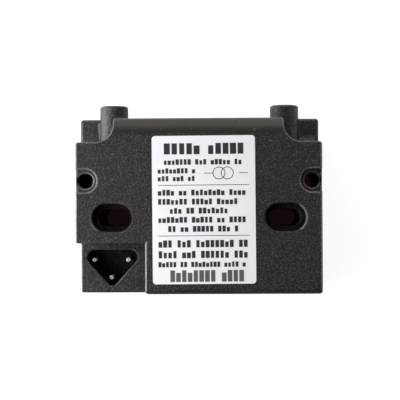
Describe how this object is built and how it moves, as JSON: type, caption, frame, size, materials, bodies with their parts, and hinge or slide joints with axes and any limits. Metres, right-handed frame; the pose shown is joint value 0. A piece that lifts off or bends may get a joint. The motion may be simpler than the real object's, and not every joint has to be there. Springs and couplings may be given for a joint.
{
  "type": "ignition transformer",
  "caption": "Potted burner ignition transformer: moulded black case with high-voltage towers at its top corners, slotted fixings and a triangular mains socket.",
  "frame": {"origin": "midway between the two round fixing holes, on the mounting plane at the open back of the case", "axes": "+Z out of the label face, +Y towards the high-voltage towers, +X to the right when looking at the label"},
  "size_m": [0.09, 0.0702, 0.0461],
  "materials": {
    "case_plastic": "spark-eroded glass-filled moulding, satin",
    "tinned_pin": "tinned, bright",
    "label_film": "satin film",
    "resin": "cast, glossy meniscus",
    "board_laminate": "solder-masked laminate",
    "capacitor_case": "moulded box",
    "coated_body": "dipped coating",
    "package_plastic": "moulded package",
    "ferrite": "pressed ferrite",
    "winding_copper": "enamelled copper wire",
    "former_plastic": "natural moulding",
    "contact_brass": "turned brass",
    "lead_sleeve": "silicone-insulated wire"
  },
  "bodies": {
    "root": {"housing": "case_plastic", "inlet_insert": "case_plastic", "line_pin": "tinned_pin", "neutral_pin": "tinned_pin", "earth_pin": "tinned_pin", "rating_label": "label_film", "potting_resin": "resin", "circuit_board": "board_laminate", "storage_capacitor": "capacitor_case", "suppression_capacitor": "capacitor_case", "varistor": "coated_body", "fuse_resistor": "coated_body", "rectifier_diodes": "package_plastic", "gate_resistors": "coated_body", "thyristor": "package_plastic", "choke_core": "ferrite", "choke_winding": "winding_copper", "ferrite_rod": "ferrite", "coil_former": "former_plastic", "primary_winding": "winding_copper", "left_secondary_winding": "winding_copper", "right_secondary_winding": "winding_copper", "left_hv_contact": "contact_brass", "right_hv_contact": "contact_brass", "left_hv_lead": "lead_sleeve", "right_hv_lead": "lead_sleeve", "primary_leads": "lead_sleeve", "centre_tap_leads": "lead_sleeve"}
  },
  "joints": []
}
